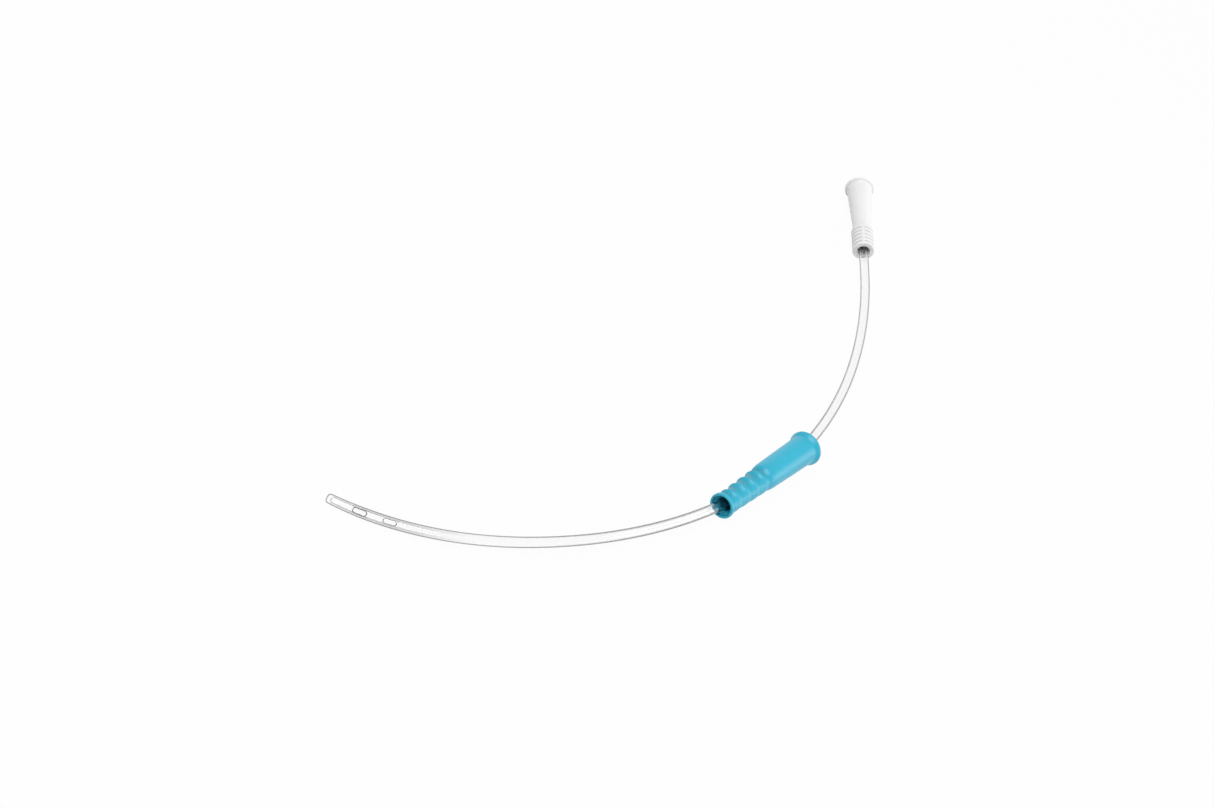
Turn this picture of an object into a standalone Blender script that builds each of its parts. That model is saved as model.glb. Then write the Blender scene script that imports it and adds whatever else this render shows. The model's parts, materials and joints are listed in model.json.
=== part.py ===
"""Intermittent catheter lying on a surface.

A clear hollow tube with a closed tip and two drainage eyes is bonded into a white drainage funnel. A blue
grip sleeve is threaded on the tube and slides along it. Sizes are in metres. The model lies on the plane
z = 0, the funnel points along +Y as seen from above, and the origin is under the middle of the object.
"""
import math

import bmesh
import bpy
import numpy as np
from mathutils import Matrix, Vector

# Tube
TUBE_RADIUS = 0.0020
TUBE_WALL = 0.0006
TUBE_LENGTH = 0.3805        # from the funnel's face to the tip
TUBE_POINT_SPACING = 0.006

# Tip of the tube
TIP_TAPER_LENGTH = 0.014
TIP_TAPER = 0.00025         # the radius that the tube loses along its taper
TIP_ROUND_LENGTH = 0.0014
TIP_BLUNTNESS = 2.6         # 2 is an ellipse, and more is blunter
TIP_WALL = 0.0012
TIP_ROUND_ANGLES = (14, 32, 50, 70)     # degrees around the round end, where it has its rings

# Drainage eyes, measured from the tip
EYE_LENGTH = 0.0046
EYE_WIDTH = 0.0016
FIRST_EYE = 0.0120
SECOND_EYE = 0.0235
EYE_TURN = math.radians(-47)

# Curve of the tube seen from above, from the funnel to the tip
FUNNEL_END_BEND = 0.330
FUNNEL_END_RUN = 0.125
MIDDLE_BEND = 0.256
TIP_BEND = 0.104
TIP_RUN = 0.114

# Height of the tube's centre line
CARRIED_HEIGHT = 0.0048     # where the sleeve travels
LEVELLING_RUN = 0.030       # where it comes level from the funnel's tilted axis
DROP_RUN = 0.095            # where it comes down to the surface
TIP_REST = 0.003            # the stretch at the tip that lies on the surface

# Grip sleeve, measured from its narrow mouth
GRIP_STATION = 0.1819       # from the funnel's face to the sleeve's middle, along the tube
GRIP_LENGTH = 0.0605
GRIP_LIP_RADIUS = 0.00503
GRIP_LIP_LENGTH = 0.0012
GRIP_MOUTH_BORE = 0.0041
GRIP_MOUTH_DEPTH = 0.0012
GRIP_RINGS = 4
RING_START = 0.0057
RING_PITCH = 0.00595
RING_FIRST_RADIUS = 0.00462
RING_LAST_RADIUS = 0.00501
RING_DEPTH = 0.00065
RING_RISE = 0.0033          # from a valley up to the crest after it
RING_WALL = 0.0006
CONE_START = 0.0315
CONE_START_RADIUS = 0.00545
CONE_END_RADIUS = 0.00594
GRIP_BELL_LENGTH = 0.0026
GRIP_RIM_RADIUS = 0.00698
GRIP_RIM_WIDTH = 0.0009
GRIP_WALL = 0.0009
GRIP_INWARD = 0.00025       # how far the tube's bow sits off the sleeve's middle
GRIP_YAW = math.radians(-0.27)

# Drainage funnel, measured from the face that the tube enters
FUNNEL_LENGTH = 0.0432
COLLAR_RADIUS = 0.00475
COLLAR_LENGTH = 0.0126
SHOULDER_LENGTH = 0.0026
WAIST_RADIUS = 0.00392
FUNNEL_CONE_RADIUS = 0.0056
FUNNEL_BELL_LENGTH = 0.0008
FUNNEL_RIM_RADIUS = 0.0064
FUNNEL_RIM_WIDTH = 0.0009
FUNNEL_WALL = 0.0011
GROOVES = 5
GROOVE_START = 0.0013
GROOVE_PITCH = 0.0023
GROOVE_WIDTH = 0.0010
GROOVE_DEPTH = 0.00035
LAND_WIDTH = 0.0009         # the parting line's land across the grooves
LAND_TURN = math.radians(-28)
LAND_INSET = 0.00004        # how far the land lies under the collar's surface
SOCKET_DEPTH = 0.012
SOCKET_MOUTH_RADIUS = 0.0027
SOCKET_MOUTH_DEPTH = 0.0026
CHANNEL_RADIUS = 0.0016
CHANNEL_STEP = 0.001        # from the channel out to the cone's inside

# What pieces share
FIT_GAP = 0.0003
EDGE_ROUND = 0.0004
EDGE_STEP = 0.00013         # the first of an edge's two steps

# Fineness
TUBE_SIDES = 12
GRIP_STEPS = 36
FUNNEL_STEPS = 32

UP = Vector((0, 0, 1))


def eased(start, end, count):
    """Points on a half cosine from start to end, without start itself."""
    share = np.arange(1, count + 1) / count
    rise = (1 - np.cos(np.pi * share)) / 2
    stations = start[0] + (end[0] - start[0]) * share
    radii = start[1] + (end[1] - start[1]) * rise
    return list(zip(stations, radii))


def rest_on(first, second):
    """Tilt and starting height of a turned piece that lies on two of its circles, each (station, radius)."""
    tilt = math.atan2(second[1] - first[1], second[0] - first[0])
    height = first[1] * math.cos(tilt) - first[0] * math.sin(tilt)
    return tilt, height


# Route of the tube

FUNNEL_TILT, FUNNEL_HEIGHT = rest_on(
    (EDGE_ROUND, COLLAR_RADIUS), (FUNNEL_LENGTH - EDGE_ROUND, FUNNEL_RIM_RADIUS))
GRIP_TILT, GRIP_HEIGHT = rest_on(
    (EDGE_ROUND, GRIP_LIP_RADIUS), (GRIP_LENGTH - EDGE_ROUND, GRIP_RIM_RADIUS))


def route_height(station):
    """Height of the tube's centre at a distance from the funnel's face."""
    share = np.clip(station / LEVELLING_RUN, 0, 1)
    level = share ** 2 * (3 - 2 * share)
    leaving = -math.tan(FUNNEL_TILT) * LEVELLING_RUN * share * (1 - share) ** 2
    drop = np.clip((TUBE_LENGTH - station - TIP_REST) / DROP_RUN, 0, 1)
    carried = TUBE_RADIUS + (CARRIED_HEIGHT - TUBE_RADIUS) * drop ** 2 * (3 - 2 * drop)
    return FUNNEL_HEIGHT * (1 - level) + leaving + carried * level


def route(step=0.0005):
    """Stations, centres and headings of the tube, from the funnel's face to the tip."""
    count = max(2, round(TUBE_LENGTH / step))
    station = np.linspace(0, TUBE_LENGTH, count + 1)
    bends = (0, FUNNEL_END_RUN, TUBE_LENGTH - TIP_RUN, TUBE_LENGTH)
    curvature = np.interp(
        station, bends, (1 / FUNNEL_END_BEND, 1 / MIDDLE_BEND, 1 / MIDDLE_BEND, 1 / TIP_BEND))
    stride = TUBE_LENGTH / count
    turn = np.concatenate(([0], np.cumsum(curvature[1:] + curvature[:-1]) * stride / 2))
    heading = -math.pi / 2 - turn
    along = np.stack((np.cos(heading), np.sin(heading)), axis=1)
    plan = np.concatenate(([[0, 0]], np.cumsum(along[1:] + along[:-1], axis=0) * stride / 2))
    return station, np.column_stack((plan, route_height(station))), heading


ROUTE = route()


def plan_middle():
    """Middle, seen from above, of the box around the tube and the funnel."""
    centres = ROUTE[1][:, :2]
    low = centres.min(axis=0) - TUBE_RADIUS
    high = centres.max(axis=0) + TUBE_RADIUS
    reach = FUNNEL_LENGTH * math.cos(FUNNEL_TILT)
    low = np.minimum(low, (-FUNNEL_RIM_RADIUS, reach))
    high = np.maximum(high, (FUNNEL_RIM_RADIUS, reach))
    return Vector((*(low + high) / 2, 0))


ORIGIN = plan_middle()


def on_route(distance):
    """Centre and direction of the tube, both as vectors, at a distance from the funnel's face."""
    station, centres, _ = ROUTE
    here = Vector([np.interp(distance, station, centres[:, axis]) for axis in range(3)])
    ahead = Vector([np.interp(distance, station, np.gradient(centres[:, axis])) for axis in range(3)])
    return here - ORIGIN, ahead.normalized()


def bend_centre():
    """Centre of the tube's middle bend, seen from above."""
    direction = np.interp(FUNNEL_END_RUN, ROUTE[0], ROUTE[2])
    inward = Vector((math.sin(direction), -math.cos(direction), 0))
    start = on_route(FUNNEL_END_RUN)[0]
    return Vector((start.x, start.y, 0)) + inward * MIDDLE_BEND


def along_axis(direction, origin):
    """Placement of a turned piece: its own Z runs along direction, and its own X stays level."""
    level = UP.cross(direction).normalized()
    turned = Matrix((level, direction.cross(level), direction)).transposed()
    return Matrix.Translation(origin) @ turned.to_4x4()


# Scene helpers

def clear_scene():
    for item in list(bpy.data.objects):
        bpy.data.objects.remove(item)


def new_collection(name):
    group = bpy.data.collections.new(name)
    bpy.context.scene.collection.children.link(group)
    return group


def new_material(name, colour, roughness, clear=0.0):
    material = bpy.data.materials.new(name)
    material.use_nodes = True
    shader = material.node_tree.nodes["Principled BSDF"]
    shader.inputs["Base Color"].default_value = (*colour, 1)
    shader.inputs["Roughness"].default_value = roughness
    shader.inputs["Metallic"].default_value = 0.0
    shader.inputs["Transmission Weight"].default_value = clear
    return material


def add_object(name, mesh, group, placement=Matrix()):
    item = bpy.data.objects.new(name, mesh)
    item.matrix_world = placement
    group.objects.link(item)
    return item


def as_cutter(item):
    item.hide_render = True
    item.display_type = "WIRE"
    return item


def shade(item, material):
    item.data.materials.clear()
    item.data.materials.append(material)
    item.data.shade_smooth()
    item.data.set_sharp_from_angle(angle=math.radians(40))


def combine(item, tool, operation):
    modifier = item.modifiers.new(tool.name, "BOOLEAN")
    modifier.operation = operation
    modifier.object = tool
    modifier.solver = "EXACT"


def turned_object(name, outline, steps, group, placement):
    """A closed outline of (station, radius) points, turned about the object's own Z axis."""
    mesh = bpy.data.meshes.new(name)
    points = [(radius, 0, station) for station, radius in outline]
    edges = [(index, (index + 1) % len(points)) for index in range(len(points))]
    mesh.from_pydata(points, edges, [])
    item = add_object(name, mesh, group, placement)
    screw = item.modifiers.new("Turn", "SCREW")
    screw.axis = "Z"
    screw.angle = math.tau
    screw.steps = steps
    screw.render_steps = steps
    screw.use_merge_vertices = True
    screw.merge_threshold = 0.00001
    screw.use_smooth_shade = True
    return item


# Tube

def tip_radius(distance, radius):
    """Radius of the tube or of its lumen at a distance from that piece's own end."""
    taper = np.clip((TIP_TAPER_LENGTH - distance) / TIP_TAPER_LENGTH, 0, 1)
    body = radius - TIP_TAPER * taper
    back = np.clip((TIP_ROUND_LENGTH - distance) / TIP_ROUND_LENGTH, 0, 1)
    return body * (1 - back ** TIP_BLUNTNESS) ** (1 / TIP_BLUNTNESS)


def swept_tube(name, radius, start, end, group):
    """A round bar of a radius along the route, closed by a rounded end."""
    round_angles = np.radians(TIP_ROUND_ANGLES)
    round_stations = end - TIP_ROUND_LENGTH * (1 - np.cos(round_angles))
    taper_stations = end - np.linspace(TIP_ROUND_LENGTH, TIP_TAPER_LENGTH, 3)
    body_end = end - TIP_TAPER_LENGTH - TUBE_POINT_SPACING
    count = max(2, round((body_end - start) / TUBE_POINT_SPACING))
    stations = np.sort(np.concatenate((np.linspace(start, body_end, count + 1), taper_stations, round_stations)))
    funnel_axis = Vector((0, math.cos(FUNNEL_TILT), math.sin(FUNNEL_TILT)))
    curve = bpy.data.curves.new(name, "CURVE")
    curve.dimensions = "3D"
    curve.twist_mode = "Z_UP"
    curve.bevel_depth = radius
    curve.bevel_resolution = (TUBE_SIDES - 4) // 2
    curve.use_fill_caps = True
    spline = curve.splines.new("POLY")
    spline.points.add(len(stations) - 1)
    for point, station in zip(spline.points, stations):
        place = on_route(max(station, 0))[0] + funnel_axis * max(-station, 0)
        point.co = (*place, 1)
        point.radius = tip_radius(end - station, radius) / radius
    return curve_to_mesh_object(name, curve, group)


def curve_to_mesh_object(name, curve, group):
    source = add_object(name + "_curve", curve, group)
    evaluated = source.evaluated_get(bpy.context.evaluated_depsgraph_get())
    mesh = bpy.data.meshes.new_from_object(evaluated)
    item = add_object(name, mesh, group, source.matrix_world.copy())
    bpy.data.objects.remove(source)
    welded = bmesh.new()
    welded.from_mesh(mesh)
    bmesh.ops.remove_doubles(welded, verts=welded.verts, dist=0.000001)
    bmesh.ops.recalc_face_normals(welded, faces=welded.faces)
    welded.to_mesh(mesh)
    welded.free()
    return item


def eye_cutter(name, from_tip, turn, group):
    """A slot with round ends that goes through one side of the tube's wall."""
    reach = 2 * TUBE_RADIUS
    solid = bmesh.new()
    bmesh.ops.create_cube(solid, size=1, matrix=Matrix.Diagonal((EYE_LENGTH, EYE_WIDTH, reach, 1)))
    upright = [edge for edge in solid.edges if abs((edge.verts[0].co - edge.verts[1].co).z) > reach / 2]
    bmesh.ops.bevel(solid, geom=upright, offset=EYE_WIDTH * 0.49, segments=4, profile=0.5, affect="EDGES")
    bmesh.ops.translate(solid, verts=solid.verts, vec=(0, 0, reach / 2))
    mesh = bpy.data.meshes.new(name)
    solid.to_mesh(mesh)
    solid.free()
    centre, direction = on_route(TUBE_LENGTH - from_tip)
    side = direction.cross(UP).normalized()
    outward = side.cross(direction) * math.cos(turn) + side * math.sin(turn)
    frame = Matrix((direction, outward.cross(direction), outward)).transposed()
    return as_cutter(add_object(name, mesh, group, Matrix.Translation(centre) @ frame.to_4x4()))


def catheter_tube(parts, cutters):
    tube = swept_tube("catheter_tube", TUBE_RADIUS, -SOCKET_DEPTH, TUBE_LENGTH, parts)
    past_open_end = SOCKET_DEPTH + 2 * TUBE_WALL
    lumen = as_cutter(swept_tube(
        "lumen_cutter", TUBE_RADIUS - TUBE_WALL, -past_open_end, TUBE_LENGTH - TIP_WALL, cutters))
    combine(tube, lumen, "DIFFERENCE")
    combine(tube, eye_cutter("first_eye_cutter", FIRST_EYE, EYE_TURN, cutters), "DIFFERENCE")
    combine(tube, eye_cutter("second_eye_cutter", SECOND_EYE, EYE_TURN + math.pi, cutters), "DIFFERENCE")
    shade(tube, new_material("clear_tube", (0.86, 0.90, 0.92), 0.12, clear=0.9))


# Grip sleeve

def ring_radius(station):
    """Crest radius of the sleeve's rings, which grow evenly from the first to the last."""
    last = RING_START + RING_PITCH * (GRIP_RINGS - 1)
    return np.interp(station, (RING_START, last), (RING_FIRST_RADIUS, RING_LAST_RADIUS))


def grip_outside():
    """Outer outline from the narrow mouth to the rim."""
    outline = [
        (0, GRIP_LIP_RADIUS - EDGE_ROUND),
        (EDGE_STEP, GRIP_LIP_RADIUS - EDGE_STEP),
        (EDGE_ROUND, GRIP_LIP_RADIUS),
        (GRIP_LIP_LENGTH, GRIP_LIP_RADIUS)]
    for ring in range(GRIP_RINGS):
        crest = RING_START + RING_PITCH * ring
        valley = crest - RING_RISE
        radius = ring_radius(crest)
        outline += eased(outline[-1], (valley, radius - RING_DEPTH), 3)
        outline += eased(outline[-1], (crest, radius), 3)
    last_valley = RING_START + RING_PITCH * GRIP_RINGS - RING_RISE
    outline += eased(outline[-1], (last_valley, RING_LAST_RADIUS - RING_DEPTH / 2), 3)
    outline += eased(outline[-1], (CONE_START, CONE_START_RADIUS), 3)
    bell = (GRIP_LENGTH - EDGE_ROUND - GRIP_BELL_LENGTH, CONE_END_RADIUS)
    outline += [bell]
    outline += eased(bell, (GRIP_LENGTH - EDGE_ROUND, GRIP_RIM_RADIUS), 5)
    outline += [(GRIP_LENGTH, GRIP_RIM_RADIUS - EDGE_ROUND)]
    return outline


def grip_inside():
    """Bore's outline from the rim back to the narrow mouth."""
    bell = (GRIP_LENGTH - EDGE_ROUND - GRIP_BELL_LENGTH, CONE_END_RADIUS - GRIP_WALL)
    first_valley = RING_START - RING_RISE
    last_valley = first_valley + RING_PITCH * (GRIP_RINGS - 1)
    neck_wall = RING_DEPTH + RING_WALL
    rim = GRIP_RIM_RADIUS - GRIP_RIM_WIDTH
    outline = [(GRIP_LENGTH, rim + EDGE_STEP)]
    outline += eased((GRIP_LENGTH - EDGE_STEP, rim), bell, 5)
    outline += [
        (CONE_START, CONE_START_RADIUS - GRIP_WALL),
        (last_valley, RING_LAST_RADIUS - neck_wall),
        (first_valley, RING_FIRST_RADIUS - neck_wall),
        (GRIP_MOUTH_DEPTH, GRIP_MOUTH_BORE),
        (0, GRIP_MOUTH_BORE)]
    return outline


def grip_sleeve(parts):
    """The sleeve lies on the surface, centred on the bow of the tube, and turns with its pivot along it."""
    centre = bend_centre()
    middle = on_route(GRIP_STATION)[0]
    outward = Vector((middle.x, middle.y, 0)) - centre
    outward.normalize()
    half_chord = GRIP_LENGTH / 2
    bow = MIDDLE_BEND - math.sqrt(MIDDLE_BEND ** 2 - half_chord ** 2)
    level = Matrix.Rotation(GRIP_YAW, 3, "Z") @ UP.cross(outward)
    direction = level * math.cos(GRIP_TILT) + UP * math.sin(GRIP_TILT)
    across = MIDDLE_BEND - bow / 2 - GRIP_INWARD
    foot = centre + outward * across - level * half_chord * math.cos(GRIP_TILT)
    pivot = bpy.data.objects.new("grip_pivot", None)
    pivot.location = centre
    parts.objects.link(pivot)
    outline = list(reversed(grip_outside())) + list(reversed(grip_inside()))
    placement = Matrix.Translation(-centre) @ along_axis(direction, foot + UP * GRIP_HEIGHT)
    grip = turned_object("grip_sleeve", outline, GRIP_STEPS, parts, placement)
    grip.parent = pivot
    shade(grip, new_material("blue_elastomer", (0.055, 0.50, 0.66), 0.42))


# Drainage funnel

def funnel_outside():
    """Outer outline from the face that the tube enters to the rim."""
    outline = [
        (0, COLLAR_RADIUS - EDGE_ROUND),
        (EDGE_STEP, COLLAR_RADIUS - EDGE_STEP),
        (EDGE_ROUND, COLLAR_RADIUS)]
    slope = GROOVE_DEPTH / 2
    for groove in range(GROOVES):
        start = GROOVE_START + GROOVE_PITCH * groove
        outline += [
            (start, COLLAR_RADIUS),
            (start + slope, COLLAR_RADIUS - GROOVE_DEPTH),
            (start + GROOVE_WIDTH - slope, COLLAR_RADIUS - GROOVE_DEPTH),
            (start + GROOVE_WIDTH, COLLAR_RADIUS)]
    collar_end = (COLLAR_LENGTH, COLLAR_RADIUS)
    waist = (COLLAR_LENGTH + SHOULDER_LENGTH, WAIST_RADIUS)
    bell = (FUNNEL_LENGTH - EDGE_ROUND - FUNNEL_BELL_LENGTH, FUNNEL_CONE_RADIUS)
    outline += [collar_end] + eased(collar_end, waist, 4) + [bell]
    outline += eased(bell, (FUNNEL_LENGTH - EDGE_ROUND, FUNNEL_RIM_RADIUS), 5)
    outline += [(FUNNEL_LENGTH, FUNNEL_RIM_RADIUS - EDGE_ROUND)]
    return outline


def funnel_inside():
    """Outline of the outlet, the channel and the tube's socket, from the rim back to the face."""
    bell = (FUNNEL_LENGTH - EDGE_ROUND - FUNNEL_BELL_LENGTH, FUNNEL_CONE_RADIUS - FUNNEL_WALL)
    rim = FUNNEL_RIM_RADIUS - FUNNEL_RIM_WIDTH
    waist = COLLAR_LENGTH + SHOULDER_LENGTH
    stop = SOCKET_DEPTH + FIT_GAP
    outline = [(FUNNEL_LENGTH, rim)]
    outline += eased(outline[-1], bell, 5)
    outline += [
        (waist + CHANNEL_STEP, WAIST_RADIUS - FUNNEL_WALL),
        (waist, CHANNEL_RADIUS),
        (stop, CHANNEL_RADIUS),
        (stop, TUBE_RADIUS + FIT_GAP),
        (SOCKET_MOUTH_DEPTH + FIT_GAP, TUBE_RADIUS + FIT_GAP),
        (SOCKET_MOUTH_DEPTH, SOCKET_MOUTH_RADIUS - FIT_GAP),
        (0, SOCKET_MOUTH_RADIUS)]
    return outline


def parting_land(name, side, placement, group):
    """A bar along the collar that fills the grooves across the parting line."""
    height = GROOVE_DEPTH * 2
    length = GROOVE_PITCH * (GROOVES - 1) + GROOVE_WIDTH + GROOVE_DEPTH
    middle = GROOVE_START + length / 2 - GROOVE_DEPTH / 2
    radius = COLLAR_RADIUS - height / 2 - LAND_INSET
    solid = bmesh.new()
    shape = Matrix.Translation((0, side * radius, middle)) @ Matrix.Diagonal((LAND_WIDTH, height, length, 1))
    bmesh.ops.create_cube(solid, size=1, matrix=shape)
    mesh = bpy.data.meshes.new(name)
    solid.to_mesh(mesh)
    solid.free()
    return as_cutter(add_object(name, mesh, group, placement @ Matrix.Rotation(LAND_TURN, 4, "Z")))


def drainage_funnel(parts, cutters):
    direction = Vector((0, math.cos(FUNNEL_TILT), math.sin(FUNNEL_TILT)))
    face = on_route(0)[0]
    placement = along_axis(direction, Vector((face.x, face.y, FUNNEL_HEIGHT)))
    outline = list(reversed(funnel_outside())) + list(reversed(funnel_inside()))
    funnel = turned_object("drainage_funnel", outline, FUNNEL_STEPS, parts, placement)
    combine(funnel, parting_land("top_land", 1, placement, cutters), "UNION")
    combine(funnel, parting_land("bottom_land", -1, placement, cutters), "UNION")
    shade(funnel, new_material("white_plastic", (0.88, 0.88, 0.87), 0.38))


def main():
    clear_scene()
    parts = new_collection("intermittent_catheter")
    cutters = new_collection("cutters")
    catheter_tube(parts, cutters)
    grip_sleeve(parts)
    drainage_funnel(parts, cutters)


main()
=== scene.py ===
"""Looks of an intermittent catheter that lies on a pale floor.

A clear hollow tube with a closed tip and two drainage eyes runs from a white drainage funnel. A blue
ringed grip sleeve slides along it. Sizes are in metres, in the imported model's frame.
"""
import json
import math
from functools import partial

import bpy
import numpy as np
from bpy.props import FloatProperty, FloatVectorProperty, IntProperty, PointerProperty
from mathutils import Matrix, Vector


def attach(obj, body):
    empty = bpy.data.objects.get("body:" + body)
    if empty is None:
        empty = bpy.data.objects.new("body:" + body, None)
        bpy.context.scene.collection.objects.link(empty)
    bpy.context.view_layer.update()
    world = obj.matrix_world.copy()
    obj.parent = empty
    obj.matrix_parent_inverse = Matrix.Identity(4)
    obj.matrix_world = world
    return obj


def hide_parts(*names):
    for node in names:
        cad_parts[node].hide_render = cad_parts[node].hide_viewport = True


bl_info = {
    "name": "Intermittent Catheter",
    "version": (1, 0, 0),
    "blender": (4, 5, 0),
    "location": "3D View > Sidebar > Catheter",
    "description": "Builds a clear catheter tube with its grip sleeve, its drainage funnel and a studio",
    "category": "Object",
}

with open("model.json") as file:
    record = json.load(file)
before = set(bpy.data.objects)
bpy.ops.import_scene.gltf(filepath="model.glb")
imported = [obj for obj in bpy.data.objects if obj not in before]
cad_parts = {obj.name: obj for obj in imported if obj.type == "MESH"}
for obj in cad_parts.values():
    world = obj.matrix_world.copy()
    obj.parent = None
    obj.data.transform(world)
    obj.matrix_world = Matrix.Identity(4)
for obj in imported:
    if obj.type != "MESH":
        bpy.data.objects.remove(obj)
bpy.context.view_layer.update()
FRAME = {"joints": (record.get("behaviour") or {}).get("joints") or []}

UP = Vector((0, 0, 1))
JOINT = FRAME["joints"][0]
BEND_CENTRE = Vector(JOINT["pos_m"])

# Tube's tip and wall
TIP_TAPER_LENGTH = 0.014
TIP_TAPER = 0.00025
TIP_ROUND_LENGTH = 0.0014
TIP_BLUNTNESS = 2.6
TIP_WALL = 0.0012
SOCKET_DEPTH = 0.012

# Drainage eyes
FIRST_EYE = 0.0120
SECOND_EYE = 0.0235
EYE_TURN = math.radians(47)
EYE_EDGE = 0.00017

# Curve of the tube seen from above, from the funnel to the tip
FUNNEL_END_BEND = 0.330
FUNNEL_END_RUN = 0.125
MIDDLE_BEND = 0.256
TIP_BEND = 0.104
TIP_RUN = 0.114
ROUTE_STEP = 0.0005

# Height of the tube's centre line
CARRIED_HEIGHT = 0.0048
LEVELLING_RUN = 0.030
DROP_RUN = 0.095
TIP_REST = 0.003

# Fineness of the tube
TUBE_SIDES = 48
BODY_SPACING = 0.0015
TIP_SPACING = 0.00025
TIP_FINE_CELLS = 128
EYE_HALF_CELLS = 13
EYE_HALF_SIDES = 6
EYE_EDGE_TURNS = (0, 22.5, 45, 67.5, 90)
EYE_PATCH_SHARES = (0.3, 0.6, 0.82)
EYE_SLOT_HALVINGS = 40
TIP_RING_ANGLES = (4, 86, 14)

# Grip sleeve
GRIP_STATION = 0.1819
GRIP_LIP_RADIUS = 0.00503
GRIP_LIP_LENGTH = 0.0012
GRIP_MOUTH_BORE = 0.0041
GRIP_MOUTH_DEPTH = 0.0012
RING_START = 0.0057
RING_FIRST_RADIUS = 0.00462
RING_LAST_RADIUS = 0.00501
RING_RISE = 0.0033
RING_LEAD_OUT = 0.0024
RING_FIRST_BORE = 0.00295
RING_LAST_BORE = 0.00358
RING_END_BORE = 0.00375
CONE_START = 0.0315
CONE_START_RADIUS = 0.00545
CONE_END_RADIUS = 0.00594
GRIP_BELL_LENGTH = 0.0026
GRIP_RIM_RADIUS = 0.00698
GRIP_RIM_WIDTH = 0.0009
GRIP_WALL = 0.0009
GRIP_INWARD = 0.00025
GRIP_YAW = math.radians(-0.27)
RING_DEEP_SIDE = math.radians(28)
RING_SIDE_SHARPNESS = 1.15
RING_BAND_POWER = 3.0
RING_CREST_POWER = 3.0
RING_CURVE_SHARES = (0.0, 0.15, 0.3, 0.45, 0.6, 0.7, 0.8, 0.9, 0.96)
GRIP_STEPS = 128

# Drainage funnel
COLLAR_RADIUS = 0.00475
COLLAR_LENGTH = 0.0126
SHOULDER_LENGTH = 0.0026
WAIST_RADIUS = 0.00392
FUNNEL_CONE_RADIUS = 0.0056
FUNNEL_BELL_LENGTH = 0.0008
FUNNEL_RIM_RADIUS = 0.0064
FUNNEL_RIM_WIDTH = 0.0009
FLANGE_LENGTH = 0.0012
FLANGE_ROUND = 0.00018
FUNNEL_WALL = 0.0011
GROOVE_START = 0.0013
GROOVE_WIDTH = 0.0010
GROOVE_SLOPE = 0.00018
LAND_TURN = math.radians(62)
LAND_WIDTH = 0.0009
LAND_FLAT_SHARE = 0.40
LAND_EDGE_SHARE = 0.75
SOCKET_MOUTH_RADIUS = 0.0027
SOCKET_MOUTH_DEPTH = 0.0026
CHANNEL_RADIUS = 0.0016
CHANNEL_STEP = 0.001
FUNNEL_STEPS = 112

FIT_GAP = 0.0003
EDGE_ROUND = 0.0004
TINY = 0.0000001

# Moulded finishes: where the noise starts and ends its ramps, and the height of its relief
FLOW_RAMP = (0.3, 0.7)
FLOW_GLOSS_RAMP = (0.25, 0.75)
GRAIN_RAMP = (0.35, 0.65)
FLOW_HEIGHT = 0.0003
GRAIN_HEIGHT = 0.00002

# Clear plastic: its lines, the facings between which painted grey shade covers its edges, and the painted
# dark shade on the eyes' cut edges
EXTRUDER_LINES = (12, 1100, 1100)
TIP_REACH = (0.060, 0.020)
EDGE_SHADE_BROADENING = (0.08, 0.26)
EDGE_START = 0.48
EDGE_WIDTH = 0.22
BROADER_EDGE = -0.14
BROADER_TIP_EDGE = -0.09
LUMEN_EDGE = (0.03, 0.24)
LUMEN_SHADE_SHARE = 0.02
TIP_LUMEN_SHADE_SHARE = 0.52
CUT_SHADE_TONE = 0.1
CUT_ROUGHNESS = 0.25

# Floor, lamps and room
FLOOR_GLOW = 0.965
FLOOR_SIDES = 96
FLOOR_REACH = 12.0
LAMP_TARGET = (0.0, 0.0, 0.0)
KEY_PLACE = (1.15, 0.0, 0.30)
KEY_SIZE = (0.85, 0.5)
FILL_PLACE = (-0.25, -0.15, 1.30)
FILL_SIZE = (1.0, 1.0)
ROOM_RISE = (0.30, 0.60)
ROOM_LEFT = (-0.1, -0.7)
ROOM_THROUGH_TUBE = 0.6

# Camera
PHOTO_SIZE = (1214, 809)
SENSOR_WIDTH = 36.0
FOCAL_PIXELS = 2600.0
CAMERA_PLACE = (-0.29104, -0.77501, 0.59171)
CAMERA_TURN = (0.8902, 0.3953, -0.2045, 0.0972)


# Sizes and colours that a user would change

def length(name, description, default):
    return FloatProperty(
        name=name, description=description, default=default, min=0.0, precision=4, unit="LENGTH")


def power(name, description, default):
    return FloatProperty(name=name, description=description, default=default, min=0.0, unit="POWER")


def number(name, description, default):
    return IntProperty(name=name, description=description, default=default, min=0, max=8)


def colour(name, description, default):
    return FloatVectorProperty(
        name=name, description=description, default=default, size=3, min=0.0, max=1.0, subtype="COLOR")


class CatheterTubeSettings(bpy.types.PropertyGroup):
    diameter: length("Diameter", "Outside diameter of the tube", 0.0040)
    wall: length("Wall", "Thickness of the tube's wall", 0.0006)
    run: length("Length", "Length of the tube from the funnel's face to the tip", 0.3805)
    eye_length: length("Eye Length", "Length of each drainage eye", 0.0046)
    eye_width: length("Eye Width", "Width of each drainage eye", 0.0016)
    # Colour of the painted grey shade along the clear wall's edges, in the lumen near the tip and, darker, on
    # the eyes' cut edges
    tint: colour("Edge Tint", "Colour that the clear wall lets through along its edges", (0.08, 0.08, 0.079))


class CatheterGripSettings(bpy.types.PropertyGroup):
    run: length("Length", "Length of the grip sleeve", 0.0605)
    rings: number("Rings", "Number of finger rings", 4)
    ring_pitch: length("Ring Pitch", "Distance from ring to ring", 0.00595)
    ring_depth: length("Ring Depth", "Depth between the rings on the deep side", 0.00112)
    ring_low_depth: length("Low Ring Depth", "Depth between the rings on the other side", 0.00032)
    tint: colour("Colour", "Colour of the elastomer", (0.028, 0.425, 0.595))


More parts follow.
